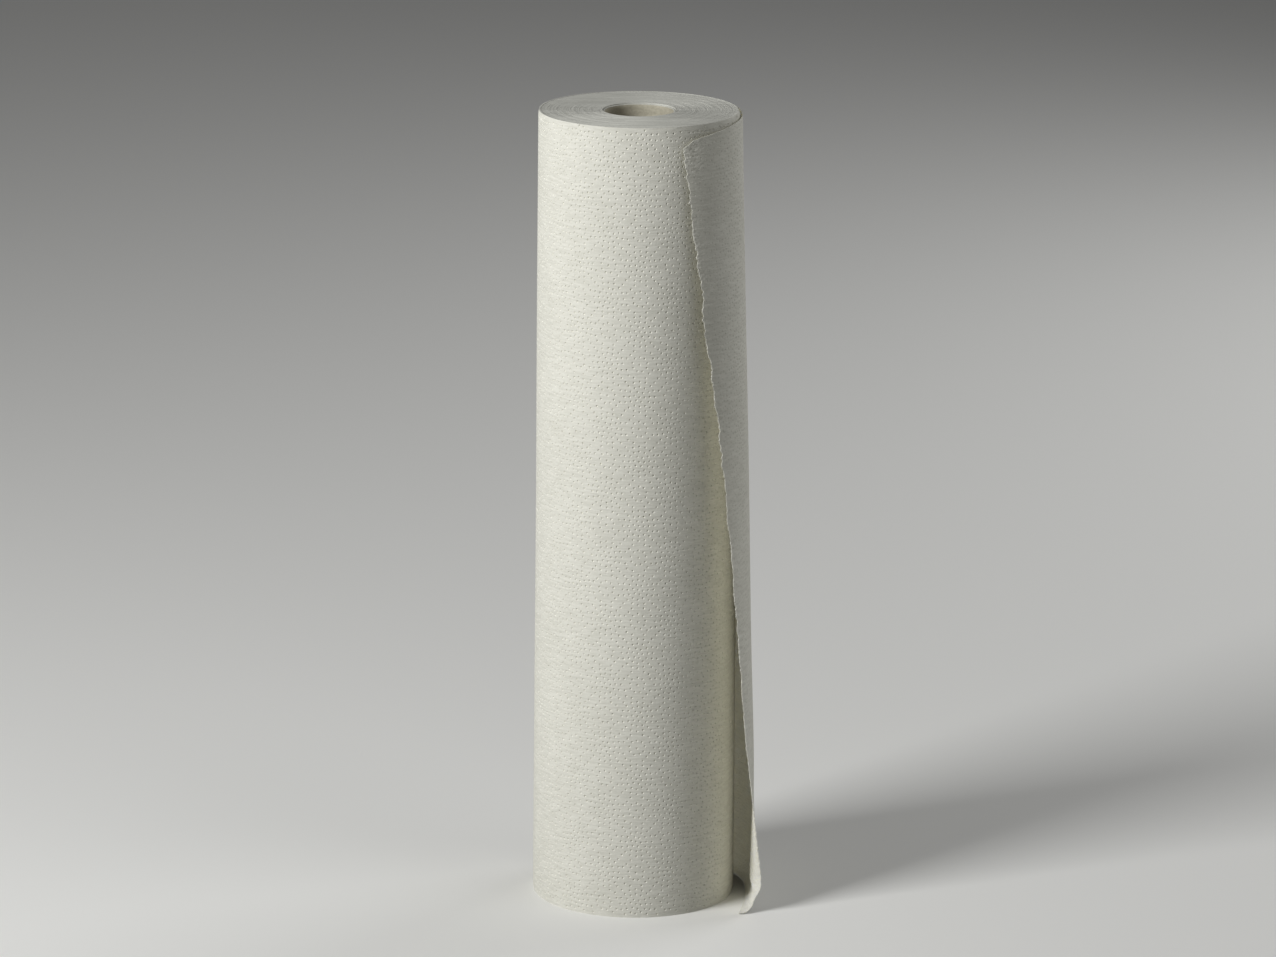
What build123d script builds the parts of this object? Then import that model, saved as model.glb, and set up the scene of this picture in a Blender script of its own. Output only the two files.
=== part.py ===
from build123d import *
from math import cos, radians, sin
import os

# Paper roll for an examination table: one long web of embossed tissue wound on a cardboard tube.
# It stands on its end. Its outer turn has slipped loose and ends in a torn edge beside the front.
# Frame, in mm: the tube's axis is Z, the face it stands on is z = 0, the front is -Y, right is +X.

# Wound roll
web_width = 500.0
roll_radius = 61.9
foot_slack = 1.9  # the outer turns lie looser at the foot, so the roll is wider there by this radius

# Cardboard tube
bore_radius = 21.3
tube_wall = 1.2
tube_recess = 0.8  # the tube's upper rim lies this far below the paper

# Turns, as they show in both end faces: one spiral furrow, between the ridges of the web's edges
turns_shown = 7
furrow_width = 1.3
furrow_depth = 0.6
furrow_margin = 2.2  # solid paper left beside the tube and beside the outer turn

# Loose outer turn: a sheet that leaves the roll in two tangent arcs, close at the top, wide at the foot
sheet_thickness = 0.5  # two embossed plies
root_play = 0.2  # room over and under the sheet at the step where it leaves the roll
root_hold = 3.0  # length of the sheet that lies inside the roll
root_bearing = 109.0  # degrees from +X, counter-clockwise seen from above
edge_set_back = 0.3  # the sheet's long edges start this far inside the roll's end faces
hug_run = 131.5  # length of the first arc, which follows the roll
top_run = 191.0  # whole length along the top edge
foot_run = 185.0  # whole length along the foot
top_near_gap = 1.7  # how much the first arc's radius is over the roll's, at the top
top_far_gap = 0.4  # and the second arc's
foot_near_gap = 10.8
foot_far_radius = 300.0  # nearly straight, where the free end stands away from the roll
hem_radius = 14.0  # bend of the foot edge, which tucks in where the slipped sheet meets the floor
hem_turn = 90.0  # degrees of that bend at the free end
hem_turn_at_root = 5.0
hem_growth = 4 / 3  # power by which the bend grows along the sheet
strips = 22  # flat strips that the loose sheet bends between, as paper does
strip_growth = 1.25  # power by which they widen away from the roll

# Torn end of the sheet
tear_depth = 2.4
tear_pitch = 17.0
tear_allowance = 6.0  # extra sheet from which the torn edge is cut
tear_bearing = 0.3  # share of the way from the end's direction at the top to that at the foot

foot_radius = roll_radius + foot_slack
tube_radius = bore_radius + tube_wall
root_step = sheet_thickness + 2 * root_play
sheet_width = web_width - 2 * edge_set_back
half_turn = 180.0


def half_turns(first_radius, growth, count):
    """Half circles that follow on smoothly from each other and grow clockwise, as a wound web does.

    Their centres alternate a quarter of a turn's growth either side of the axis, on the X axis.
    """
    arcs = []
    for number in range(count):
        side = -1 if number % 2 == 0 else 1
        start = 0.0 if side < 0 else half_turn
        radius = first_radius + number * growth / 2
        arcs.append(CenterArc((side * growth / 4, 0), radius, start, -half_turn))
    return arcs


def roll_outline(radius):
    """One full turn of the roll's outside, with the step where the loose sheet leaves it."""
    arcs = half_turns(radius - 0.75 * root_step, root_step, 2)
    step = Line((radius, 0), (radius - root_step, 0))
    return make_face(arcs + [step])


def furrow():
    """Flat spiral strip, from beside the tube to beside the outer turn."""
    inner = tube_radius + furrow_margin + furrow_width / 2
    outer = roll_radius - furrow_margin - furrow_width / 2 - root_step
    growth = (outer - inner) / turns_shown
    count = 2 * turns_shown
    first = inner + growth / 4
    near_side = half_turns(first - furrow_width / 2, growth, count)
    far_side = half_turns(first + furrow_width / 2, growth, count)
    start_cap = Line((inner - furrow_width / 2, 0), (inner + furrow_width / 2, 0))
    end_cap = Line((outer - furrow_width / 2, 0), (outer + furrow_width / 2, 0))
    return make_face(near_side + far_side + [start_cap, end_cap])


def wound_body():
    """All the tight turns, bored for the tube, with the spiral of turns in both end faces."""
    body = loft([roll_outline(foot_radius), Pos(0, 0, web_width) * roll_outline(roll_radius)], ruled=True)
    body -= Pos(0, 0, web_width / 2) * Cylinder(tube_radius, 2 * web_width)
    cut = extrude(furrow(), furrow_depth)
    body -= cut
    body -= Pos(0, 0, web_width - furrow_depth) * cut
    return body


def sheet_path(run, roll, near_radius, far_radius):
    """Point of the loose sheet's horizontal section, and its outward direction.

    The first arc leaves the roll on +X, clockwise and tangent to it. The second arc follows on smoothly.
    """
    start = roll - root_step / 2
    turn = min(run, hug_run) / near_radius
    outward = Vector(cos(turn), -sin(turn))
    centre = Vector(start - near_radius, 0)
    if run <= hug_run:
        return centre + outward * near_radius, outward
    centre += outward * (near_radius - far_radius)
    turn += (run - hug_run) / far_radius
    outward = Vector(cos(turn), -sin(turn))
    return centre + outward * far_radius, outward


def sheet_ends(share):
    """Upper and lower point of one line across the web, and the outward direction at its foot."""
    top, _ = sheet_path(share * top_run, roll_radius, roll_radius + top_near_gap, roll_radius + top_far_gap)
    foot, outward = sheet_path(share * foot_run, foot_radius, foot_radius + foot_near_gap, foot_far_radius)
    return top + Vector(0, 0, web_width - edge_set_back), foot + Vector(0, 0, edge_set_back), outward


def section_across(share):
    """Section across the web: straight down, then the hem's bend, as wide as the web in all."""
    top, foot, outward = sheet_ends(share)
    rise = (top - foot).normalized()
    skin = (outward - rise * outward.dot(rise)).normalized()
    plane = Plane(origin=foot, x_dir=skin, z_dir=skin.cross(rise))
    bend = hem_turn_at_root + (hem_turn - hem_turn_at_root) * max(share, 0.0) ** hem_growth
    lean = hem_radius * (1 - cos(radians(bend))) * skin.Z / rise.Z
    bend_height = hem_radius * sin(radians(bend)) + lean
    head = bend_height + sheet_width - hem_radius * radians(bend)
    half = sheet_thickness / 2
    centre = Vector(-hem_radius, bend_height)
    outer, inner = hem_radius + half, hem_radius - half
    tip = Vector(cos(radians(bend)), -sin(radians(bend)))
    edges = [
        Line((half, head), (half, bend_height)),
        CenterArc(centre, outer, 0, -bend),
        Line(centre + tip * outer, centre + tip * inner),
        CenterArc(centre, inner, -bend, bend),
        Line((-half, bend_height), (-half, head)),
        Line((-half, head), (half, head)),
    ]
    return plane * make_face(edges)


def torn_away():
    """What is torn off: a block past the free end, with an uneven edge, square to the sheet on average."""
    top, foot, foot_outward = sheet_ends(1.0)
    _, top_outward = sheet_path(top_run, roll_radius, roll_radius + top_near_gap, roll_radius + top_far_gap)
    facing = (top_outward * (1 - tear_bearing) + foot_outward * tear_bearing).normalized()
    plane = Plane(origin=foot, x_dir=Vector(facing.Y, -facing.X), z_dir=facing)
    edge_top = plane.to_local_coords(top)
    count = round(web_width / tear_pitch)
    edge = []
    for number in range(count + 1):
        share = -0.03 + 1.06 * number / count
        bite = tear_depth * (sin(2.3 * number) + 0.6 * sin(5.1 * number + 1))
        edge.append((edge_top.X * share + bite, edge_top.Y * share))
    reach = web_width
    outline = Polyline([*edge, (edge[-1][0] + reach, edge[-1][1]), (edge[0][0] + reach, edge[0][1])], close=True)
    return extrude(plane * make_face(outline), reach, both=True)


def loose_sheet():
    """The slipped outer turn, from inside the roll to its torn edge."""
    last = 1 + tear_allowance / foot_run
    shares = [-root_hold / top_run, *(last * (number / strips) ** strip_growth for number in range(strips + 1))]
    return loft([section_across(share) for share in shares], ruled=True) - torn_away()


def paper_web():
    """The whole web, wound and loose, turned so that the sheet leaves the roll at its bearing."""
    return Rot(0, 0, root_bearing) * (wound_body() + loose_sheet())


def core_tube():
    """Cardboard tube that the web is wound on, standing on the same face as the paper."""
    height = web_width - tube_recess
    tube = Cylinder(tube_radius, height) - Cylinder(bore_radius, 2 * height)
    return Pos(0, 0, height / 2) * tube


os.makedirs("parts", exist_ok=True)
export_step(paper_web(), "parts/paper_web.step")
export_step(core_tube(), "parts/core_tube.step")
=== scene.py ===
"""Examination table paper roll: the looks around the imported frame.

All pieces are in the frame's own place: the tube's axis is Z, the floor is z = 0, the front is -Y.
Shapes are worked out in millimetres and put into the meshes in metres.
"""

import logging
import math
from dataclasses import dataclass, field
from enum import Enum

import bpy
import numpy as np
from mathutils import Euler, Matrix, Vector
from mathutils.geometry import delaunay_2d_cdt

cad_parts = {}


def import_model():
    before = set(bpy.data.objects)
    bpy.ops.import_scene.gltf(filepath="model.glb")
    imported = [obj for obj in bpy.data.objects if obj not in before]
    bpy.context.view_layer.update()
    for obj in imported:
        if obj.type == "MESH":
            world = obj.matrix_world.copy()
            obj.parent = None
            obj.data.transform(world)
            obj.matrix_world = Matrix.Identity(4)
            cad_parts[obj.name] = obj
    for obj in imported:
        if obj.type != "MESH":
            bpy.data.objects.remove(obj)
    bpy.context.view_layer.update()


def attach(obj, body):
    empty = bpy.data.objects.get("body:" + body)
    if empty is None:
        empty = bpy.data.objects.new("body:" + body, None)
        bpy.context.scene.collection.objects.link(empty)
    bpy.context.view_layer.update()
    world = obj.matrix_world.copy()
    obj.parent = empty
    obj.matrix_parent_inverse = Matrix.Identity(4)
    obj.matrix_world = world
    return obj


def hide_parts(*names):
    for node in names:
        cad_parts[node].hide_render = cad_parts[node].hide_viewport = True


log = logging.getLogger("paper_roll")

Colour = tuple[int, int, int]
Triple = tuple[float, float, float]
Socket = bpy.types.NodeSocket

MM = 0.001
FULL_TURN = 2 * math.pi
BODY = "root"
SHARP_FROM = math.radians(80)  # an edge bent by more than this is shaded sharp
NO_LENGTH = 1e-12  # a length below this is taken as this, so that nothing is divided by zero
SAME_PLACE = 1e-5  # two places closer than this, in millimetres, would be joined
AT_EDGE = 1e-6  # a point closer to the web's edge than this, in millimetres, lies on it


class Slot(Enum):
    """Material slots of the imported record."""

    TISSUE = "tissue"
    CARDBOARD = "cardboard"


# Helpers


def linear(red: int, green: int, blue: int) -> tuple[float, float, float, float]:
    """A display colour of 0 to 255 a channel as the linear colour that a shader socket takes.

    The sRGB curve: a straight line for the darkest values, and a power of 2.4 above them.

    Args:
        red: Display value.
        green: Display value.
        blue: Display value.

    Returns:
        Linear red, green and blue, and an alpha of 1.
    """
    line_end, line_slope, offset, power = 0.04045, 12.92, 0.055, 2.4
    display = np.array([red, green, blue]) / 255
    low = display / line_slope
    high = ((display + offset) / (1 + offset)) ** power
    return (*(float(x) for x in np.where(display <= line_end, low, high)), 1.0)


def spread(count: int) -> np.ndarray:
    """Whole numbers from 0 to count - 1."""
    return np.arange(count)


def circle_of(count: int) -> np.ndarray:
    """So many angles evenly round a circle, from 0, in radians."""
    return FULL_TURN * spread(count) / count


def pairs(across: np.ndarray | float, up: np.ndarray | float) -> np.ndarray:
    """Two coordinates side by side, one point a row. A single number is repeated."""
    return np.stack(np.broadcast_arrays(across, up), axis=-1)


def grid(across: np.ndarray, up: np.ndarray) -> np.ndarray:
    """Every pairing of two rows of coordinates, one point a row."""
    return np.stack(np.meshgrid(across, up), axis=-1).reshape(-1, 2)


def bell(values: np.ndarray, middle: float, width: float) -> np.ndarray:
    """A bell curve: e to the minus square of the distance from the middle over the width."""
    return np.exp(-(((values - middle) / width) ** 2))


def fade(values: np.ndarray, reach: float) -> np.ndarray:
    """A fall from 1 at zero: e to the minus value over the reach."""
    return np.exp(-values / reach)


def ramp(values: np.ndarray, start: float, end: float) -> np.ndarray:
    """A straight climb from 0 at the start to 1 at the end, level on either side."""
    return np.clip((values - start) / (end - start), 0, 1)


def unit(rows: np.ndarray) -> np.ndarray:
    """Each row as a vector of length 1."""
    return rows / np.linalg.norm(rows, axis=1, keepdims=True)


def closed_rings(first: np.ndarray, second: np.ndarray) -> np.ndarray:
    """Quads between two rings of vertex numbers that go round the same way.

    Args:
        first: Vertex numbers of one ring.
        second: Vertex numbers of the other, as many.

    Returns:
        One quad a step: first, next first, next second, second.
    """
    return np.stack([first, np.roll(first, -1), np.roll(second, -1), second], axis=-1)


def open_rows(first: np.ndarray, second: np.ndarray) -> np.ndarray:
    """Quads between two open rows of vertex numbers, in the same order as closed_rings."""
    return np.stack([first[:-1], first[1:], second[1:], second[:-1]], axis=-1)


def halves(quads: np.ndarray) -> np.ndarray:
    """Two triangles for each quad, cut from its first to its third corner."""
    quads = quads.reshape(-1, 4)
    return np.concatenate([quads[:, [0, 1, 2]], quads[:, [0, 2, 3]]])


def flat_facing(points: np.ndarray, triangles: np.ndarray) -> np.ndarray:
    """Each triangle's own normal: the cross product of two of its sides.

    Args:
        points: Points, one row each.
        triangles: Three point numbers a row.

    Returns:
        Unit normals, one row for each triangle.
    """
    a, b, c = (points[triangles[:, i]] for i in range(3))
    across = np.cross(b - a, c - a)
    return across / np.maximum(np.linalg.norm(across, axis=1, keepdims=True), NO_LENGTH)


def make_piece(
    name: str,
    points: np.ndarray,
    triangles: np.ndarray,
    material: bpy.types.Material,
    crisp: np.ndarray | None = None,
    normals: np.ndarray | None = None,
    rim_material: bpy.types.Material | None = None,
    rim: np.ndarray | None = None,
) -> bpy.types.Object:
    """Puts points and triangles into a mesh object that rides on the roll's body.

    Args:
        name: The piece's name.
        points: Points in millimetres, one row each.
        triangles: Three point numbers a row, anticlockwise seen from outside.
        material: The finish.
        crisp: True for each triangle that is shaded flat. It goes with normals.
        normals: The smooth surface's normal at each point, for the triangles that aren't flat.
            Without it, edges bent by more than SHARP_FROM are sharp and the rest smooth.
        rim_material: A second finish.
        rim: True for each triangle that has the second finish.

    Returns:
        The new object.
    """
    mesh = bpy.data.meshes.new(name)
    count = len(triangles)
    mesh.vertices.add(len(points))
    mesh.vertices.foreach_set("co", (points * MM).astype(np.float32).ravel())
    mesh.loops.add(3 * count)
    mesh.loops.foreach_set("vertex_index", triangles.astype(np.int32).ravel())
    mesh.polygons.add(count)
    mesh.polygons.foreach_set("loop_start", (3 * spread(count)).astype(np.int32))
    mesh.update(calc_edges=True)
    mesh.polygons.foreach_set("use_smooth", np.ones(count, dtype=bool))
    mesh.materials.append(material)
    if rim_material is not None:
        mesh.materials.append(rim_material)
        mesh.polygons.foreach_set("material_index", rim.astype(np.int32))
    if normals is not None:
        own = flat_facing(points, triangles)[:, None, :].repeat(3, axis=1)
        corners = np.where(crisp[:, None, None], own, normals[triangles])
        mesh.normals_split_custom_set(corners.reshape(-1, 3))
    else:
        mesh.set_sharp_from_angle(angle=SHARP_FROM)
    mesh.validate()
    piece = bpy.data.objects.new(name, mesh)
    bpy.context.scene.collection.objects.link(piece)
    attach(piece, BODY)
    log.info("%s: %d points, %d triangles", name, len(points), count)
    return piece


# Embossing


@dataclass(frozen=True)
class DotRing:
    """One ring of a motif: its radius, how many dots it has and the first one's bearing in degrees."""

    radius: float
    count: int
    first: float


@dataclass(frozen=True)
class Embossing:
    """Pin dents of the tissue: rings of dots round two kinds of centre, on a centred rectangle.

    Sizes are in millimetres on the flat web.
    """

    cell_width: float = 40.1
    cell_height: float = 40.59
    first_flower: tuple[float, float] = (16.0, 9.0)
    flower_rings: tuple[DotRing, ...] = (
        DotRing(0.0, 1, 0.0),
        DotRing(3.2, 6, 10.0),
        DotRing(6.35, 12, 0.0),
        DotRing(9.5, 16, 0.0),
        DotRing(12.5, 4, 17.0),
        DotRing(12.5, 4, 46.0),
        DotRing(12.5, 4, 73.0),
    )
    button_rings: tuple[DotRing, ...] = (
        DotRing(0.0, 1, 0.0),
        DotRing(4.7, 9, 10.0),
        DotRing(8.2, 2, 45.0),
        DotRing(9.8, 2, 135.0),
    )
    pin_radius: float = 0.85
    pin_depth: float = 0.68
    pin_sides: int = 6
    depth_range: tuple[float, float] = (0.7, 1.15)  # shares of the pin's depth
    wander: float = 0.12
    seed: int = 7

    def rings(self, rings: tuple[DotRing, ...]) -> np.ndarray:
        """Dots of one motif: for each ring, so many points evenly round a circle.

        Args:
            rings: The motif's rings.

        Returns:
            Dot places about the motif's centre.
        """
        places = []
        for ring in rings:
            bearing = np.radians(ring.first) + circle_of(ring.count)
            places.append(ring.radius * pairs(np.cos(bearing), np.sin(bearing)))
        return np.concatenate(places)

    def cell(self) -> np.ndarray:
        """Dots of one cell: flowers at its corner and middle, buttons half a side away from each.

        Returns:
            Dot places about the cell's corner.
        """
        half = np.array([self.cell_width, self.cell_height]) / 2
        flower, button = self.rings(self.flower_rings), self.rings(self.button_rings)
        return np.concatenate(
            [flower, flower + half, button + half * (1, 0), button + half * (0, 1)]
        )

    def dots(self, width: float, height: float) -> np.ndarray:
        """Dot places over a web from (0, 0) to (width, height), and somewhat past it.

        Args:
            width: Size along the web.
            height: Size across the web.

        Returns:
            Dot places, each a little off its true place.
        """
        # Cells are laid from one before the web's corner to one past its far side
        columns = spread(int(width / self.cell_width) + 3) - 1
        rows = spread(int(height / self.cell_height) + 3) - 1
        corners = grid(columns, rows)[:, None, :]
        places = corners * (self.cell_width, self.cell_height) + self.first_flower + self.cell()
        places = places.reshape(-1, 2)
        random = np.random.default_rng(self.seed)
        return places + random.normal(0, self.wander, places.shape)


@dataclass
class DentedWeb:
    """Triangles of a flat piece of web with a small cone of dent at each dot.

    The outline and every dent's ring and tip go into one Delaunay triangulation, cut to the outline.
    Of the fields that are worked out, places holds the points, dent how deep each one is pressed in,
    and crisp is true for each triangle of a dent.
    """

    embossing: Embossing
    outline: np.ndarray
    dots: np.ndarray
    extra: np.ndarray
    triangles: np.ndarray = field(init=False)
    places: np.ndarray = field(init=False)
    dent: np.ndarray = field(init=False)
    crisp: np.ndarray = field(init=False)

    def __post_init__(self) -> None:
        """Lays out the points and triangulates them."""
        pins = self.embossing
        bearing = circle_of(pins.pin_sides)
        ring = pins.pin_radius * pairs(np.cos(bearing), np.sin(bearing))
        rings = (self.dots[:, None, :] + ring).reshape(-1, 2)
        count = len(self.dots)
        self.places = np.concatenate([self.outline, self.extra, self.dots, rings])
        start = len(self.outline) + len(self.extra)
        owner = np.full(len(self.places), -1)
        owner[start : start + count] = spread(count)
        owner[start + count :] = np.repeat(spread(count), pins.pin_sides)
        random = np.random.default_rng(pins.seed + 1)
        self.dent = np.zeros(len(self.places))
        self.dent[start : start + count] = pins.pin_depth * random.uniform(*pins.depth_range, count)
        triangles = self.triangulated()
        triangles = triangles[self.kept(triangles)]
        a, b, c = (self.places[triangles[:, i]] for i in range(3))
        area = (b[:, 0] - a[:, 0]) * (c[:, 1] - a[:, 1]) - (b[:, 1] - a[:, 1]) * (c[:, 0] - a[:, 0])
        self.triangles = np.where((area < 0)[:, None], triangles[:, ::-1], triangles)
        whose = owner[self.triangles]
        self.crisp = (whose[:, 0] >= 0) & (whose == whose[:, :1]).all(axis=1)

    def triangulated(self) -> np.ndarray:
        """The Delaunay triangulation of all the places.

        Returns:
            Three point numbers a row.

        Raises:
            ValueError: If two places were joined, so that the numbers no longer agree.
        """
        points = [Vector(place) for place in self.places.tolist()]
        border = list(range(len(self.outline)))
        inside_only = 1
        found = delaunay_2d_cdt(points, [], [border], inside_only, SAME_PLACE, False)
        if len(found[0]) != len(points):
            raise ValueError(f"{len(points)} points went in, {len(found[0])} came out")
        return np.array(found[2])

    def kept(self, triangles: np.ndarray) -> np.ndarray:
        """Which triangles lie inside the outline.

        Only one with all its corners on the outline can lie outside. From its middle, a line to the
        right crosses the outline an odd number of times if it is inside.

        Args:
            triangles: Three point numbers a row.

        Returns:
            True for each triangle that lies inside.
        """
        inside = np.ones(len(triangles), dtype=bool)
        doubtful = np.flatnonzero((triangles < len(self.outline)).all(axis=1))
        middle = self.places[triangles[doubtful]].mean(axis=1)[:, None, :]
        first, second = self.outline, np.roll(self.outline, -1, axis=0)
        spans = (first[:, 1] > middle[..., 1]) != (second[:, 1] > middle[..., 1])
        rise = np.where(first[:, 1] == second[:, 1], 1.0, second[:, 1] - first[:, 1])
        meets = first[:, 0] + (middle[..., 1] - first[:, 1]) * (second[:, 0] - first[:, 0]) / rise
        inside[doubtful] = (spans & (meets > middle[..., 0])).sum(axis=1) % 2 == 1
        return inside


# The wound roll


@dataclass(frozen=True)
class Wave:
    """A slow wave of the wound roll's outside: its height in millimetres, how many times it repeats
    round the roll, how far it turns from foot to top, and its start, both in radians.
    """

    height: float
    lobes: int
    twist: float
    start: float


@dataclass
class WoundRoll:
    """The tight turns: an embossed outer wrap and the body of turns inside it. Sizes in millimetres."""

    tissue: bpy.types.Material
    edges: bpy.types.Material
    embossing: Embossing
    web_width: float = 500.0
    roll_radius: float = 61.9
    foot_radius: float = 63.8
    root_step: float = 0.5
    root_bearing: float = 109.0
    waves: tuple[Wave, ...] = (Wave(0.10, 3, 5.0, 0.0), Wave(0.07, 2, -13.0, 1.0))
    wave_inset: float = 0.1  # keeps the waves' crests within the roll's radius
    shoulder_rise: float = 1.0
    shoulder_at: float = 2.05  # radians from the root
    shoulder_spread: float = 0.62
    shoulder_rim: float = 1.8  # how soon under the rim the swelling is full
    shoulder_fall: float = 110.0  # how far down it fades
    wrap_thickness: float = 1.5
    bore_radius: float = 22.55
    covered: float = 1.85  # radians from the root that the loose turn hides
    column_pitch: float = 3.0
    hidden_start: tuple[float, float] = (4.0, 6.0)  # first point of the plain grid under the loose turn
    hidden_pitch: tuple[float, float] = (6.0, 12.0)
    hidden_margin: tuple[float, float] = (1.0, 5.0)
    dot_margin: float = 0.95
    rim_round: float = 0.35
    turns: int = 188
    columns: int = 96
    edge_rise: float = 0.07  # how far each web's edge stands over the valley beside it
    least_sunk: float = 0.03
    turn_depth: float = 0.16
    band_depth: float = 0.20
    band_turns: tuple[float, float] = (1.5, 8.0)
    lip_turns: float = 2.0  # the turns beside the tube that lie level
    rim_sunk: float = 0.2
    first_turn: float = 0.25  # of a turn's thickness, between the bore and the first row
    spare_turns: float = 1.5  # the end face is so many turns' thicknesses wider than its turns are
    wrap_gap: float = 0.04  # between the body of turns and the wrap's inner wall
    seed: int = 11

    @property
    def mean_radius(self) -> float:
        """Outside radius half way up, by which the flat web's runs are turned into angles."""
        return (self.roll_radius + self.foot_radius) / 2

    @property
    def girth(self) -> float:
        """Length of one turn of the outer wrap."""
        return FULL_TURN * self.mean_radius

    @property
    def wall_radius(self) -> float:
        """Radius of the wrap's plain inner wall."""
        return self.roll_radius - self.wrap_thickness

    def turned(
        self, along: np.ndarray, radius: np.ndarray | float, height: np.ndarray | float
    ) -> np.ndarray:
        """Points at clockwise angles from the root, turned to the root's bearing about the axis.

        Args:
            along: Angle from the root, clockwise seen from above, in radians.
            radius: Distance from the axis.
            height: Height over the floor.

        Returns:
            Points, with x, y and z along the last axis.
        """
        bearing = math.radians(self.root_bearing) - along
        x, y = radius * np.cos(bearing), radius * np.sin(bearing)
        return np.stack(np.broadcast_arrays(x, y, height), axis=-1)

    def radius_at(self, along: np.ndarray, height: np.ndarray) -> np.ndarray:
        """Outside radius: straight from foot to top, less a step that closes over one turn, plus
        slow waves and the shoulder.

        Args:
            along: Angle from the root in radians.
            height: Height over the floor.

        Returns:
            Radii in millimetres.
        """
        share = height / self.web_width
        plain = self.foot_radius + (self.roll_radius - self.foot_radius) * share
        waves = sum(
            wave.height * np.sin(wave.lobes * along + wave.twist * share + wave.start)
            for wave in self.waves
        )
        step = self.root_step * (1 - along / FULL_TURN)
        return plain - step + waves - self.wave_inset + self.shoulder(along, height)

    def shoulder(self, along: np.ndarray, height: np.ndarray) -> np.ndarray:
        """Slack of the outer turns under the rim, where the loose turn has pulled at them: a bell along
        the web, nothing at the rim itself, full a few millimetres below it and fading further down.

        Args:
            along: Angle from the root in radians.
            height: Height over the floor.

        Returns:
            How far the surface swells.
        """
        under = np.maximum(self.web_width - height, 0)
        swelling = self.shoulder_rise * bell(along, self.shoulder_at, self.shoulder_spread)
        return swelling * (1 - fade(under, self.shoulder_rim)) * bell(under, 0, self.shoulder_fall)

    def skin_facing(self, along: np.ndarray, height: np.ndarray) -> np.ndarray:
        """Outward normals of the undented wrap: the cross product of two short steps on it.

        Args:
            along: Angle from the root in radians.
            height: Height over the floor.

        Returns:
            Unit normals.
        """
        turn, drop = 0.01, 0.5  # the two steps, in radians and in millimetres
        here = self.turned(along, self.radius_at(along, height), height)
        ahead = self.turned(along + turn, self.radius_at(along + turn, height), height)
        below = self.turned(along, self.radius_at(along, height - drop), height - drop)
        return unit(np.cross(here - below, ahead - here))

    def wrap_web(self, columns: int, rows: int) -> DentedWeb:
        """The outer turn as a flat dented web, from the root once round.

        Its dents start where the loose turn no longer hides it. Under that turn a plain wide grid
        of points takes their place.

        Args:
            columns: Steps of its outline along the web.
            rows: Steps of its outline across the web.

        Returns:
            The web, with its outline anticlockwise from the root's foot.
        """
        girth, height = self.girth, self.web_width
        across = np.linspace(0, girth, columns + 1)
        up = np.linspace(0, height, rows + 1)
        outline = np.concatenate(
            [
                pairs(across[:-1], 0.0),
                pairs(girth, up[:-1]),
                pairs(across[:0:-1], height),
                pairs(0.0, up[:0:-1]),
            ]
        )
        dots = self.embossing.dots(girth, height)
        margin = self.dot_margin
        hidden_run = self.covered * self.mean_radius
        inside = (dots[:, 0] > hidden_run) & (dots[:, 0] < girth - margin)
        inside &= (dots[:, 1] > margin) & (dots[:, 1] < height - margin)
        plain = grid(
            np.arange(self.hidden_start[0], hidden_run - self.hidden_margin[0], self.hidden_pitch[0]),
            np.arange(self.hidden_start[1], height - self.hidden_margin[1], self.hidden_pitch[1]),
        )
        return DentedWeb(self.embossing, outline, dots[inside], plain)

    def wrap(self) -> bpy.types.Object:
        """The outer turns as a closed shell, dented outside.

        The flat web runs once round, and its two ends meet in the step at the root. Rims join its
        upper and lower edges to a plain inner wall.

        Returns:
            The piece.
        """
        columns = round(self.girth / self.column_pitch)
        rows = round(self.web_width / self.column_pitch)
        web = self.wrap_web(columns, rows)
        along, height = web.places[:, 0] / self.mean_radius, web.places[:, 1]
        radius = self.radius_at(along, height) - web.dent
        radius -= self.rim_round * (np.minimum(height, self.web_width - height) < AT_EDGE)
        skin = self.turned(along, radius, height)
        foot = self.turned(circle_of(columns), self.wall_radius, 0.0)
        head = self.turned(circle_of(columns), self.wall_radius, self.web_width)
        points = np.concatenate([skin, foot, head])
        normals = np.concatenate([self.skin_facing(along, height), np.zeros((2 * columns, 3))])
        skin_foot = spread(columns + 1)
        end_column = columns + spread(rows + 1)
        skin_head = (columns + rows + spread(columns + 1))[::-1]
        first_column = np.append(2 * columns + rows + spread(rows), 0)[::-1]
        wall_foot = len(skin) + np.append(spread(columns), 0)
        wall_head = wall_foot + columns
        triangles = np.concatenate(
            [
                web.triangles[:, ::-1],
                halves(open_rows(skin_foot, wall_foot)),
                halves(open_rows(skin_head, wall_head))[:, ::-1],
                halves(open_rows(wall_foot, wall_head)),
                halves(open_rows(first_column, end_column))[:, ::-1],
                np.array([[first_column[0], wall_foot[0], end_column[0]]]),
                np.array([[first_column[-1], end_column[-1], wall_head[0]]]),
            ]
        )
        rim = spread(len(triangles)) >= len(web.triangles)
        crisp = rim.copy()
        crisp[~rim] = web.crisp
        return make_piece(
            "outer_wrap", points, triangles, self.tissue, crisp, normals, self.edges, rim
        )

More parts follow.
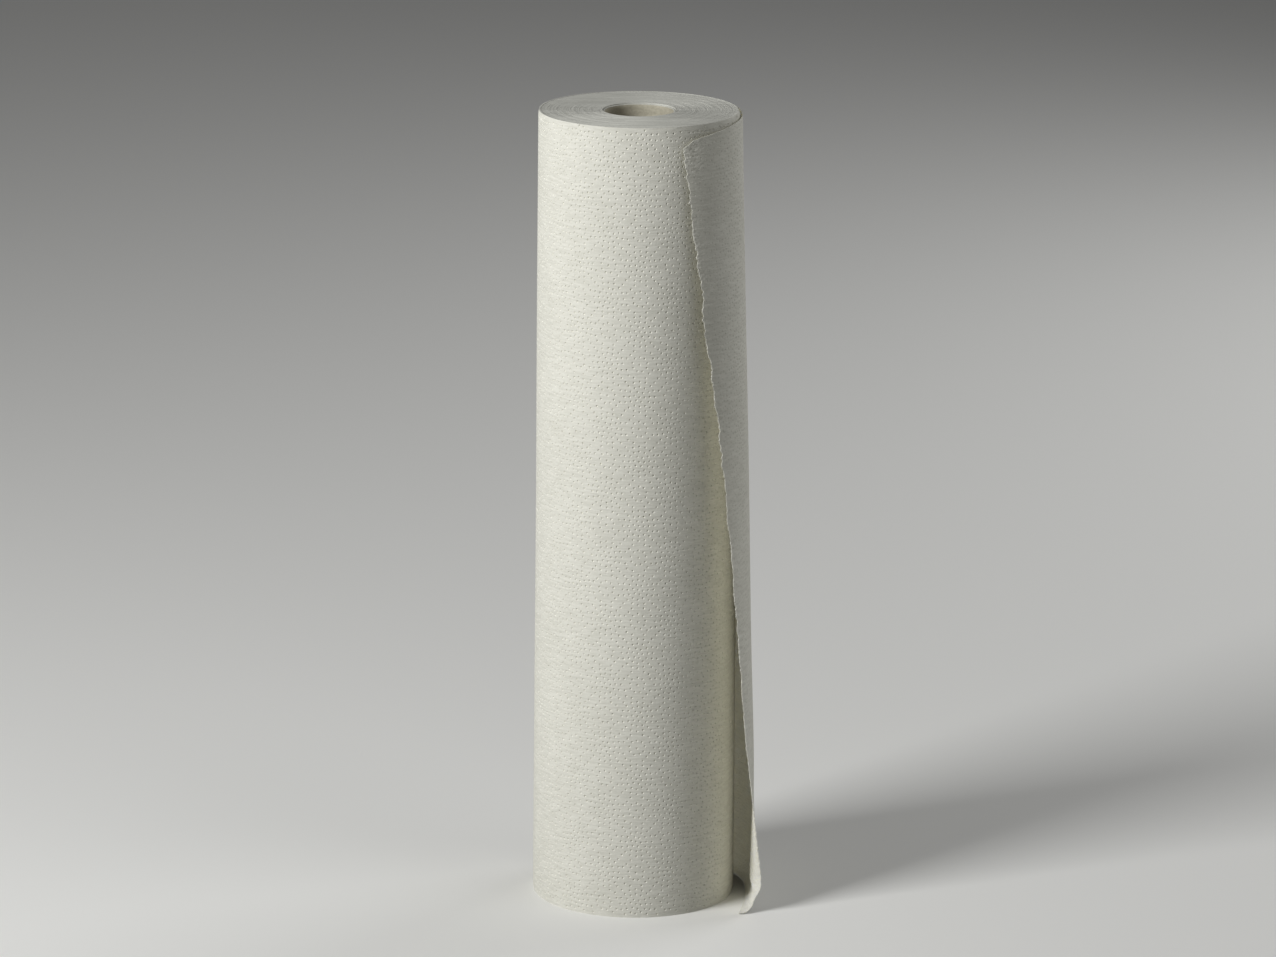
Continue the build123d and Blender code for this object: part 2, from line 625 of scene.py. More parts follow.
    def end_heights(self, turn: np.ndarray, along: np.ndarray, ridge: np.ndarray) -> np.ndarray:
        """How far each point of an end face lies under the end plane.

        Ridges and valleys take turns along the radius. Each turn has its own depth, which drifts
        slowly along the web, and wide bands of turns lie a little lower.

        Args:
            turn: The number of whole turns from the tube, with halves.
            along: Angle within the turn in radians.
            ridge: 1 on the web's edge and 0 in the valley beside it.

        Returns:
            Depths in millimetres.
        """
        random = np.random.default_rng(self.seed)
        last = self.turns + 2
        own = random.random(last + 2)
        place = np.clip(turn + along / FULL_TURN, 0, last)
        whole = place.astype(int)
        part = place - whole
        drift = own[whole] * (1 - part) + own[whole + 1] * part
        knots = np.cumsum(random.uniform(*self.band_turns, self.turns))
        bands = np.interp(place, knots, random.random(self.turns))
        sunk = self.least_sunk + self.turn_depth * drift + self.band_depth * bands
        return sunk * (1 - fade(place, self.lip_turns)) + self.edge_rise * (1 - ridge)

    def end_face(self, height: float, inward: float) -> tuple[np.ndarray, np.ndarray, int]:
        """Points and triangles of one end face, a grid of rows that wind outwards as one spiral.

        Row i lies at the bore's radius plus half a turn's thickness times i, plus one thickness for
        each turn of angle, so after one turn row i runs on into row i + 2.

        Args:
            height: The end plane's height.
            inward: Which way is into the roll: -1 at the top and 1 at the foot.

        Returns:
            Points, triangles and the number of rows, with a full circle as first and last row.
        """
        outer = self.wall_radius - self.wrap_gap
        pitch = (outer - self.bore_radius) / (self.turns + self.spare_turns)
        rows = 2 * self.turns
        row = spread(rows)[:, None]
        angle = circle_of(self.columns)[None, :]
        radius = self.bore_radius + pitch * (self.first_turn + row / 2 + angle / FULL_TURN)
        spiral = self.turned(angle, radius, height + inward * self.end_heights(row / 2, angle, row % 2))
        ends = np.array([[self.bore_radius], [outer]])
        circles = self.turned(angle, ends, height + inward * self.rim_sunk)
        points = np.concatenate([circles[:1], spiral, circles[1:]]).reshape(-1, 3)
        number = spread((rows + 2) * self.columns).reshape(rows + 2, self.columns)
        inner, winding, rim = number[0], number[1:-1], number[-1]
        following = np.concatenate([winding[2:, :1], np.tile(rim[:1], (2, 1))])
        wide = np.concatenate([winding, following], axis=1)
        quads = np.stack([wide[:-1, :-1], wide[:-1, 1:], wide[1:, 1:], wide[1:, :-1]], axis=-1)
        first, second, third = winding[:3]
        before_last, last = winding[-2:]
        triangles = [
            halves(quads[:-1]),
            halves(open_rows(np.append(inner, inner[0]), np.append(first, third[0]))),
            halves(open_rows(before_last, last)),
            halves(open_rows(last, rim)),
            np.array([[inner[0], first[0], second[0]], [inner[0], second[0], third[0]]]),
            np.array([[before_last[-1], rim[0], last[-1]], [last[-1], rim[0], rim[-1]]]),
        ]
        return points, np.concatenate(triangles), rows + 2

    def body(self) -> bpy.types.Object:
        """The turns inside the wrap: two spiral end faces, joined by the bore's wall and an outer wall.

        Returns:
            The piece.
        """
        top, faces, rows = self.end_face(self.web_width, -1)
        foot, _, _ = self.end_face(0.0, 1)
        count = len(top)
        number = spread(count).reshape(rows, self.columns)
        inner, outer = number[0], number[-1]
        triangles = np.concatenate(
            [
                faces,
                faces[:, ::-1] + count,
                halves(closed_rings(inner + count, inner)),
                halves(closed_rings(outer, outer + count)),
            ]
        )
        points = np.concatenate([top, foot])
        return make_piece("wound_turns", points, triangles, self.edges)


# The loose turn


@dataclass(frozen=True)
class Tear:
    """The torn end of the web. Sizes in millimetres: run is along the web, down is from its top edge."""

    slow_marks: tuple[float, ...] = (0.0, 100.0, 200.0, 300.0, 400.0, 450.0, 480.0, 489.0, 495.0, 500.0)
    slow_runs: tuple[float, ...] = (0.2, 0.6, -4.2, -4.6, -2.0, -3.8, -3.0, -1.8, 0.8, 0.5)
    scallop_count: int = 60
    scallop_pitch: tuple[float, float] = (6.0, 22.0)
    scallop_reach: float = 1.3
    long_share: float = 0.7
    short_share: float = 0.9
    short_pitch: float = 0.43  # the short scallops' pitch as a share of the long ones'
    teeth_depth: float = 0.34
    corner_run: float = 6.5
    corner_down: float = 3.0
    seed: int = 23

    def offset(self, down: np.ndarray) -> np.ndarray:
        """How far past the sheet's mean end it reaches at each distance from the upper edge.

        A slow wave, shallow scallops with sharp ends, fine teeth, and a rounded upper corner.

        Args:
            down: Distances from the upper edge, all of them at once, because the teeth are random.

        Returns:
            Runs past the mean end.
        """
        random = np.random.default_rng(self.seed)
        slow = np.interp(down, self.slow_marks, self.slow_runs)
        marks = np.cumsum(random.uniform(*self.scallop_pitch, self.scallop_count))
        depth = random.uniform(-self.scallop_reach, self.scallop_reach, self.scallop_count)
        long = self.long_share * np.interp(down, marks, depth)
        short = self.short_share * np.interp(down, marks * self.short_pitch, depth[::-1])
        teeth = random.normal(0, self.teeth_depth, len(down))
        corner = self.corner_run * np.clip(1 - down / self.corner_down, 0, 1)
        return slow + long + short + teeth - corner


@dataclass(frozen=True)
class Creases:
    """Fine relief of the loose turn: creases and ripples beside the tear, and soft buckles all over.

    Sizes are in millimetres on the flat web. A length in a sine is that of one radian.
    """

    height: float = 0.46
    pitch: float = 2.6
    sharpness: float = 1.6
    slope: float = 0.27
    reach: float = 13.0
    sway: float = 0.9
    sway_run: float = 6.1
    sway_down: float = 17.0
    slow_sway: float = 0.7
    slow_sway_down: float = 9.0
    patch_share: float = 0.45
    patch_run: float = 9.0
    patch_down: float = 13.0
    least_strength: float = 0.45
    strong_down: float = 160.0
    ripple_height: float = 0.12
    ripple_pitch: float = 4.9
    ripple_slope: float = 0.2
    ripple_run: float = 7.0
    ripple_reach: float = 16.0
    buckle_height: float = 0.45
    buckle_run: float = 26.0
    buckle_down: float = 38.0
    buckle_beat: float = 31.0
    buckle_start: float = 1.0

    def creases(self, run: np.ndarray, down: np.ndarray, from_edge: np.ndarray) -> np.ndarray:
        """Narrow ridges that slant away from the tear, come in patches and fade from it.

        Args:
            run: Distance along the web from the root.
            down: Distance from the upper edge.
            from_edge: Distance from the tear, along the web.

        Returns:
            Outward shifts.
        """
        sway = self.sway * np.sin(run / self.sway_run + down / self.sway_down)
        slow_sway = self.slow_sway * np.sin(down / self.slow_sway_down)
        slant = down + self.slope * from_edge + sway + slow_sway
        ridge = (1 - np.abs(np.sin(slant * math.pi / self.pitch))) ** self.sharpness
        patches = np.sin(down / self.patch_down + run / self.patch_run)
        patches = 1 - self.patch_share + self.patch_share * patches
        strength = self.least_strength + (1 - self.least_strength) * fade(down, self.strong_down)
        return self.height * ridge * patches * strength * fade(from_edge, self.reach)

    def ripples(self, run: np.ndarray, down: np.ndarray, from_edge: np.ndarray) -> np.ndarray:
        """A finer, even wave beside the tear.

        Args:
            run: Distance along the web from the root.
            down: Distance from the upper edge.
            from_edge: Distance from the tear, along the web.

        Returns:
            Outward shifts.
        """
        phase = (down - self.ripple_slope * from_edge) * FULL_TURN / self.ripple_pitch
        wave = np.sin(phase + run / self.ripple_run)
        return self.ripple_height * wave * fade(from_edge, self.ripple_reach)

    def buckles(self, run: np.ndarray, down: np.ndarray, share: np.ndarray) -> np.ndarray:
        """Soft buckles, the product of two waves, which grow with the square of the share.

        Args:
            run: Distance along the web from the root.
            down: Distance from the upper edge.
            share: Place along the sheet, 0 at the root and 1 at its mean end.

        Returns:
            Outward shifts.
        """
        waves = np.sin(down / self.buckle_down + run / self.buckle_run)
        return self.buckle_height * share**2 * waves * np.sin(run / self.buckle_beat + self.buckle_start)


@dataclass(frozen=True)
class FootShape:
    """How the sheet's free corner is pushed about at the floor. Sizes in millimetres.

    Distances are from the upper edge, and shares go from 0 at the root to 1 at the sheet's end.
    """

    low_from: float = 492.0  # below this the hollow and the flare are full
    low_fade: float = 82.0
    hollow_depth: float = 5.0
    hollow_at: float = 0.81
    hollow_width: float = 0.12
    flare_rise: float = 2.5
    flare_from: float = 0.88
    tuck_depth: float = 4.5
    tuck_at: float = 486.0
    tuck_width: float = 8.5
    tuck_from: float = 0.7

    def shift(self, share: np.ndarray, down: np.ndarray) -> np.ndarray:
        """A flare of the free end, less a hollow beside it and a tuck just over the hem.

        Args:
            share: Place along the sheet.
            down: Distance from the upper edge.

        Returns:
            Outward shifts.
        """
        low = bell(np.maximum(self.low_from - down, 0), 0, self.low_fade)
        hollow = self.hollow_depth * bell(share, self.hollow_at, self.hollow_width) * low**2
        flare = self.flare_rise * ramp(share, self.flare_from, 1) ** 2 * low
        tuck = self.tuck_depth * bell(down, self.tuck_at, self.tuck_width)
        return flare - hollow - tuck * ramp(share, self.tuck_from, 1) ** 2


@dataclass
class LooseTurn:
    """The outer turn that has slipped: a sheet from the root to its torn edge. Sizes in millimetres."""

    tissue: bpy.types.Material
    lit_through: bpy.types.Material
    embossing: Embossing
    roll: WoundRoll
    tear: Tear = Tear()
    creases: Creases = Creases()
    foot_shape: FootShape = FootShape()
    thickness: float = 0.5
    root_inset: float = 0.45
    top_run: float = 191.0
    foot_run: float = 185.0
    hug_run: float = 131.5
    top_near_gap: float = 1.7
    top_far_gap: float = 0.4
    foot_near_gap: float = 10.8
    foot_far_radius: float = 300.0
    edge_set_back: float = 0.3
    hem_radius: float = 14.0
    hem_turn: float = 90.0
    hem_turn_at_root: float = 5.0
    hem_growth: float = 4 / 3
    root_hold: float = 2.5
    root_lift: float = 0.22  # makes the root flush with the roll
    root_lift_run: float = 18.0
    stand_off: float = 0.75  # room that the sheet keeps from the wrap under the rim
    stand_off_under: float = 20.0
    pull_down: float = 90.0
    still_from: float = 483.0  # between these two distances the relief fades out towards the floor
    still_at: float = 497.0
    edge_rows: int = 460
    side_rows: int = 84
    long_columns: int = 78
    dotted_run: float = 220.0
    dot_margin: float = 1.0
    dot_room: float = 1.8  # between the tear and the nearest dot
    dot_clear: float = 1.6  # pin radii between a dot and the nearest point of the band
    dent_share: float = 0.6
    pimple_share: float = 0.5
    band_reach: tuple[float, float] = (1.3, 22.0)  # fine points beside the tear, that the creases need
    band_margin: tuple[float, float] = (0.8, 0.5)
    band_pitch: tuple[float, float] = (2.3, 0.65)
    band_jitter: tuple[float, float] = (1.0, 0.1)
    inner_dots_from: float = 85.0  # nearer the root the inner face is out of sight, so it is plain
    plain_start: tuple[float, float] = (2.0, 4.0)
    plain_pitch: tuple[float, float] = (7.0, 9.0)
    plain_margin: float = 2.0
    hem_from: float = 30.0  # over the foot, where the plain rows end and the hem's closer rows start
    hem_row_gap: float = 3.0
    hem_pitch: float = 2.0
    torn_half: tuple[float, float] = (0.10, 0.30)  # half the sheet's thickness at the tear
    floor_gap: float = 0.02
    hem_gap: float = 0.35  # the inner face stays this much higher than the outer where the hem lies
    fibre_count: int = 1300
    fibre_radius: float = 0.05
    fibre_margin: float = 1.0
    fibre_root: float = 0.4
    fibre_lean: float = 0.7  # radians
    fibre_reach: tuple[float, float] = (0.6, 2.2)
    fibre_rise: tuple[float, float] = (0.1, 0.35)
    seed: int = 23

    @property
    def web_width(self) -> float:
        """Width of the sheet between its two set-back edges."""
        return self.roll.web_width - 2 * self.edge_set_back

    @property
    def mean_run(self) -> float:
        """Mean length of the sheet, by which shares are turned into a run on the flat web."""
        return (self.top_run + self.foot_run) / 2

    def path(
        self, run: np.ndarray, roll: float, near: float, far: float
    ) -> tuple[np.ndarray, np.ndarray]:
        """The horizontal section: an arc of one radius as far as hug_run, then one of another.

        Args:
            run: Distance along the sheet from the root.
            roll: The roll's radius at that height.
            near: Radius of the first arc.
            far: Radius of the second arc.

        Returns:
            Points and outward directions, root on +X and running clockwise.
        """
        start = roll - self.root_inset
        turn = np.minimum(run, self.hug_run) / near
        bend = pairs(np.cos(turn), -np.sin(turn))
        later = turn + np.maximum(run - self.hug_run, 0) / far
        outward = pairs(np.cos(later), -np.sin(later))
        centre = np.array([start - near, 0.0]) + bend * (near - far)
        first = np.array([start - near, 0.0]) + bend * near
        second = centre + outward * far
        return np.where((run <= self.hug_run)[:, None], first, second), outward

    def top_path(self, share: np.ndarray) -> np.ndarray:
        """Points of the sheet's top edge, seen from above.

        Args:
            share: Place along the sheet, 0 at the root and 1 at its mean end.

        Returns:
            Points before the turn to the root's bearing.
        """
        radius = self.roll.roll_radius
        near, far = radius + self.top_near_gap, radius + self.top_far_gap
        return self.path(share * self.top_run, radius, near, far)[0]

    def surface(self, share: np.ndarray, down: np.ndarray) -> tuple[np.ndarray, np.ndarray]:
        """Middle plane of the sheet and its outward normal.

        Each line across the web runs straight down from its top point towards its foot point, and
        then bends inwards in an arc whose angle grows along the sheet.

        Args:
            share: Place along the sheet, 0 at the root and 1 at its mean end.
            down: Distance from the web's upper edge.

        Returns:
            Points and unit normals, turned to the root's bearing.
        """
        roll = self.roll
        near = roll.foot_radius + self.foot_near_gap
        foot_flat, outward_flat = self.path(
            share * self.foot_run, roll.foot_radius, near, self.foot_far_radius
        )
        level = np.ones((len(share), 1))
        top = np.hstack([self.top_path(share), level * (roll.web_width - self.edge_set_back)])
        foot = np.hstack([foot_flat, level * self.edge_set_back])
        outward = np.hstack([outward_flat, level * 0])
        rise = unit(top - foot)
        skin = unit(outward - rise * (outward * rise).sum(axis=1, keepdims=True))
        growth = np.maximum(share, 0) ** self.hem_growth
        bend = np.radians(self.hem_turn_at_root + (self.hem_turn - self.hem_turn_at_root) * growth)
        lean = self.hem_radius * (1 - np.cos(bend)) * skin[:, 2] / rise[:, 2]
        bend_height = self.hem_radius * np.sin(bend) + lean
        straight = self.web_width - self.hem_radius * bend
        angle = np.maximum(down - straight, 0) / self.hem_radius
        height = bend_height + np.maximum(straight - down, 0) - self.hem_radius * np.sin(angle)
        inward = self.hem_radius * (1 - np.cos(angle))
        points = foot + rise * height[:, None] - skin * inward[:, None]
        normals = skin * np.cos(angle)[:, None] - rise * np.sin(angle)[:, None]
        return self.about_axis(points), self.about_axis(normals)

    def about_axis(self, rows: np.ndarray) -> np.ndarray:
        """The rows turned about the axis from +X to the root's bearing.

        Args:
            rows: Points or directions, one row each.

        Returns:
            The turned rows.
        """
        angle = math.radians(self.roll.root_bearing)
        c, s = math.cos(angle), math.sin(angle)
        x, y, z = rows.T
        return np.stack([c * x - s * y, s * x + c * y, z], axis=-1)

    def torn_line(self) -> np.ndarray:
        """The torn edge on the flat web, from top to foot: its run and the distance down, a row each."""
        down = np.linspace(0, self.web_width, self.edge_rows)
        return pairs(self.mean_run + self.tear.offset(down), down)

    def edge_at(self, down: np.ndarray) -> np.ndarray:
        """Run of the torn edge at any distance from the upper edge."""
        run_edge, down_edge = self.torn_line().T
        return np.interp(down, down_edge, run_edge)

    def offsets(self, place: np.ndarray) -> np.ndarray:
        """Outward shift of the middle plane: its creases, ripples and buckles, the foot's shape, the
        lift at the root and the pull towards the wrap under the rim.

        Args:
            place: Run and distance from the upper edge, one row each.

        Returns:
            Shifts, one for each place.
        """
        run, down = place.T
        from_edge = np.maximum(self.edge_at(down) - run, 0)
        share = np.clip(run / self.mean_run, 0, 1)
        relief = self.creases.creases(run, down, from_edge)
        relief += self.creases.ripples(run, down, from_edge)
        relief += self.creases.buckles(run, down, share)
        relief += self.foot_shape.shift(share, down)
        free = ramp(down, self.still_at, self.still_from)
        lift = self.root_lift * fade(np.maximum(run, 0), self.root_lift_run)
        return relief * free + lift - self.spare_gap(share) * bell(down, 0, self.pull_down)

    def spare_gap(self, share: np.ndarray) -> np.ndarray:
        """How much further than its room the plain sheet stands off the wrap, at the top.

        Args:
            share: Place along the sheet, 0 at the root and 1 at its mean end.

        Returns:
            Gaps to close, one for each share.
        """
        flat = self.top_path(share)
        along = np.arctan2(-flat[:, 1], flat[:, 0]) % FULL_TURN
        height = self.roll.web_width - self.stand_off_under
        wrap = self.roll.radius_at(along, np.full_like(along, height))
        return np.maximum(np.linalg.norm(flat, axis=1) - wrap - self.stand_off, 0)

    def outline(self) -> np.ndarray:
        """The flat sheet's outline: down the torn edge, back along the foot, up the root, along the top.

        Returns:
            Run and distance from the upper edge, one row each.
        """
        height, start = self.web_width, -self.root_hold
        torn = self.torn_line()
        foot = np.linspace(torn[-1, 0], start, self.long_columns + 1)[1:-1]
        root = np.linspace(height, 0, self.side_rows)
        top = np.linspace(start, torn[0, 0], self.long_columns + 1)[1:-1]
        return np.concatenate([torn, pairs(foot, height), pairs(start, root), pairs(top, 0.0)])

    def kept_dots(self) -> np.ndarray:
        """The dots that lie well inside the sheet's outline.

        Returns:
            Dot centres.
        """
        height, margin = self.web_width, self.dot_margin
        dots = self.embossing.dots(self.dotted_run, height)
        room = self.edge_at(dots[:, 1]) - dots[:, 0]
        inside = (dots[:, 0] > margin - self.root_hold) & (room > self.dot_room)
        inside &= (dots[:, 1] > margin) & (dots[:, 1] < height - margin)
        return dots[inside]

    def band(self) -> np.ndarray:
        """Fine jittered points in a band that follows the torn edge, on which the creases are drawn.

        Returns:
            Points on the flat web.
        """
        random = np.random.default_rng(self.seed + 1)
        band = grid(
            np.arange(*self.band_reach, self.band_pitch[0]),
            np.arange(self.band_margin[0], self.web_width - self.band_margin[1], self.band_pitch[1]),
        )
        band += random.uniform(-0.5, 0.5, band.shape) * self.band_jitter
        band[:, 0] = self.edge_at(band[:, 1]) - band[:, 0]
        return band

    def plain_grid(self) -> np.ndarray:
        """Wide grid of points for the part of the inner face that is out of sight.

        Returns:
            Points on the flat web.
        """
        height = self.web_width
        rows = np.arange(self.plain_start[1], height - self.hem_from, self.plain_pitch[1])
        hem_start = height - self.hem_from + self.hem_row_gap
        hem_rows = np.arange(hem_start, height - self.hem_pitch / 2, self.hem_pitch)
        end = self.inner_dots_from - self.plain_margin
        columns = np.arange(self.plain_start[0], end, self.plain_pitch[0])
        return grid(columns, np.concatenate([rows, hem_rows]))

    def clear_of(self, extra: np.ndarray, dots: np.ndarray) -> np.ndarray:
        """The extra points that lie clear of every dent.

        Args:
            extra: Points to sift.
            dots: Dent centres.

        Returns:
            Those further from each centre than so many pin radii.
        """
        clear = self.dot_clear * self.embossing.pin_radius
        near = dots[dots[:, 0] > extra[:, 0].min() - clear]
        gap = np.linalg.norm(extra[:, None, :] - near[None, :, :], axis=-1).min(axis=1)
        return extra[gap > clear]

    def middle(self, place: np.ndarray) -> tuple[np.ndarray, np.ndarray]:
        """Points and normals of the middle plane with its relief, but without dents.

        Args:
            place: Run and distance from the upper edge, one row each.

        Returns:
            Shifted points, and the plain surface's normals.
        """
        points, normals = self.surface(place[:, 0] / self.mean_run, place[:, 1])
        return points + normals * self.offsets(place)[:, None], normals

    def face(self, web: DentedWeb, side: int) -> tuple[np.ndarray, np.ndarray]:
        """Points of one face, half a thickness off the middle plane, and the creased plane's normals.

        The normals are the cross product of two short steps, along the web and down it. The face is
        thinner at the tear, and nowhere under the floor.

        Args:
            web: The dented web that is laid on the surface, with the torn edge first in its outline.
            side: 1 for the outer face and -1 for the inner.

        Returns:
            Points and outward normals.
        """
        step = 0.2
        points, normals = self.middle(web.places)
        ahead, _ = self.middle(web.places + (step, 0))
        below, _ = self.middle(web.places + (0, step))
        facing = unit(np.cross(ahead - points, below - points))
        half = np.full(len(points), self.thickness / 2)
        random = np.random.default_rng(self.seed + 3)
        half[: self.edge_rows] = random.uniform(*self.torn_half, self.edge_rows)
        dent = web.dent * (self.dent_share if side > 0 else self.pimple_share)
        points = points + normals * (side * half - dent)[:, None]
        lying = np.maximum(-normals[:, 2], 0)
        rest = self.floor_gap + (0 if side > 0 else self.hem_gap) * lying
        points[:, 2] = np.maximum(points[:, 2], rest)
        return points, facing

    def sheet(self) -> bpy.types.Object:
        """The sheet as a closed shell, dented outside and pimpled inside, thin at its torn edge.

        Returns:
            The piece.
        """
        outline, dots = self.outline(), self.kept_dots()
        band = self.clear_of(self.band(), dots)
        outer = DentedWeb(self.embossing, outline, dots, band)
        seen = dots[dots[:, 0] > self.inner_dots_from]
        inner = DentedWeb(self.embossing, outline, seen, np.concatenate([self.plain_grid(), band]))
        outside, outward = self.face(outer, 1)
        inside, inward = self.face(inner, -1)
        count = len(outside)
        loop = spread(len(outline))
        parts = [
            outer.triangles,
            inner.triangles[:, ::-1] + count,
            halves(closed_rings(loop, loop + count))[:, ::-1],
        ]
        rim = np.ones(len(parts[2]), dtype=bool)
        return make_piece(
            "loose_turn",
            np.concatenate([outside, inside]),
            np.concatenate(parts),
            self.tissue,
            crisp=np.concatenate([outer.crisp, inner.crisp, rim]),
            normals=np.concatenate([outward, -inward]),
            rim_material=self.lit_through,
            rim=np.repeat([False, True, False], [len(part) for part in parts]),
        )

    def fibres(self) -> bpy.types.Object:
        """Loose fibres of the torn edge: thin closed needles of six faces that stand out of it.

        Each needle runs from just inside the edge to a point beyond it, with a ring of three points
        a third of the way along.

        Returns:
            The piece.
        """
        random = np.random.default_rng(self.seed + 2)
        count = self.fibre_count
        down = random.uniform(self.fibre_margin, self.web_width - self.fibre_margin, count)
        first = pairs(self.edge_at(down) - self.fibre_root, down)
        lean = random.normal(0, self.fibre_lean, count)
        reach = random.uniform(*self.fibre_reach, count)[:, None]
        start, outward = self.middle(first)
        tip, _ = self.middle(first + reach * pairs(np.cos(lean), np.sin(lean)))
        tip = tip + outward * random.normal(*self.fibre_rise, count)[:, None]
        axis = tip - start
        beside = unit(np.cross(axis, outward))
        above = unit(np.cross(beside, axis))
        angle = circle_of(3)[None, :, None]
        ring = np.cos(angle) * beside[:, None] + np.sin(angle) * above[:, None]
        ring = (start + axis / 3)[:, None] + self.fibre_radius * ring
        points = np.concatenate([start[:, None], tip[:, None], ring], axis=1)
        faces = np.array([[0, 2, 3], [0, 3, 4], [0, 4, 2], [1, 3, 2], [1, 4, 3], [1, 2, 4]])
        triangles = (points.shape[1] * spread(count)[:, None, None] + faces).reshape(-1, 3)
        points = points.reshape(-1, 3)
        points[:, 2] = np.maximum(points[:, 2], self.floor_gap)
        return make_piece("torn_fibres", points, triangles, self.tissue)


# The tube


@dataclass
class CoreTube:
    """The cardboard tube, with the butt joint of its spiral ply inside. Sizes in millimetres. Its rims
    have a paler finish, a painted highlight of the lit rim.
    """

    cardboard: bpy.types.Material
    # cut: the rims' finish, paler than the cardboard, a painted highlight of the lit rim
    cut: bpy.types.Material
    outer_radius: float = 22.5
    bore_radius: float = 21.3
    height: float = 499.2
    rim_round: float = 0.3
    ply_pitch: float = 95.0
    joint_width: float = 0.9
    joint_depth: float = 0.25
    columns: int = 96
    rows: int = 260
    outer_rows: int = 9

    def tube(self) -> bpy.types.Object:
        """A closed profile carried round the axis: outer wall, rounded rims and a finely divided bore.

        The bore's radius grows by a small notch where the angle and the height, as one helix, agree.

        Returns:
            The piece.
        """
        wall = self.outer_radius - self.bore_radius
        middle = (self.outer_radius + self.bore_radius) / 2
        flat = np.array([middle - wall / 4, middle + wall / 4])  # half the wall, left level at each rim
        heights = np.linspace(self.rim_round, self.height - self.rim_round, self.rows)
        inner = pairs(self.bore_radius, heights)[::-1]
        outer = pairs(self.outer_radius, np.linspace(heights[0], heights[-1], self.outer_rows))
        profile = np.concatenate([inner, pairs(flat, 0.0), outer, pairs(flat[::-1], self.height)])
        angle = circle_of(self.columns)
        radius = profile[:, :1] * np.ones(self.columns)
        height = profile[:, 1:] * np.ones(self.columns)
        phase = (height[: self.rows] / self.ply_pitch + angle / FULL_TURN) % 1.0
        away = np.minimum(phase, 1 - phase) * self.ply_pitch
        radius[: self.rows] += self.joint_depth * bell(away, 0, self.joint_width)
        points = np.stack([radius * np.cos(angle), radius * np.sin(angle), height], axis=-1)
        number = spread(radius.size).reshape(radius.shape)
        after = np.roll(number, -1, axis=0)
        quads = np.stack(
            [number, np.roll(number, -1, axis=1), np.roll(after, -1, axis=1), after], axis=-1
        )
        # Each rim is three steps of the profile: into the level part, over it and out of it
        on_rim = np.zeros(len(profile), dtype=bool)
        on_rim[self.rows - 1 : self.rows + 2] = True
        on_rim[-3:] = True
        return make_piece(
            "cardboard_tube",
            points.reshape(-1, 3),
            halves(quads),
            self.cardboard,
            rim_material=self.cut,
            rim=np.tile(np.repeat(on_rim, self.columns), 2),
        )


# Finishes


def new_material(name: str) -> tuple[bpy.types.Material, bpy.types.NodeTree, bpy.types.Node]:
    """A node material with only its shader and output.

    Args:
        name: The material's name.

    Returns:
        The material, its node tree and its shader node.
    """
    material = bpy.data.materials.new(name)
    material.use_nodes = True
    tree = material.node_tree
    tree.nodes.clear()
    output = tree.nodes.new("ShaderNodeOutputMaterial")
    shader = tree.nodes.new("ShaderNodeBsdfPrincipled")
    tree.links.new(shader.outputs["BSDF"], output.inputs["Surface"])
    return material, tree, shader


@dataclass(frozen=True)
class Noise:
    """A noise's detail and roughness, and its scale a metre on each axis, or None for the group's own."""

    detail: float
    roughness: float
    scale: Triple | None = None


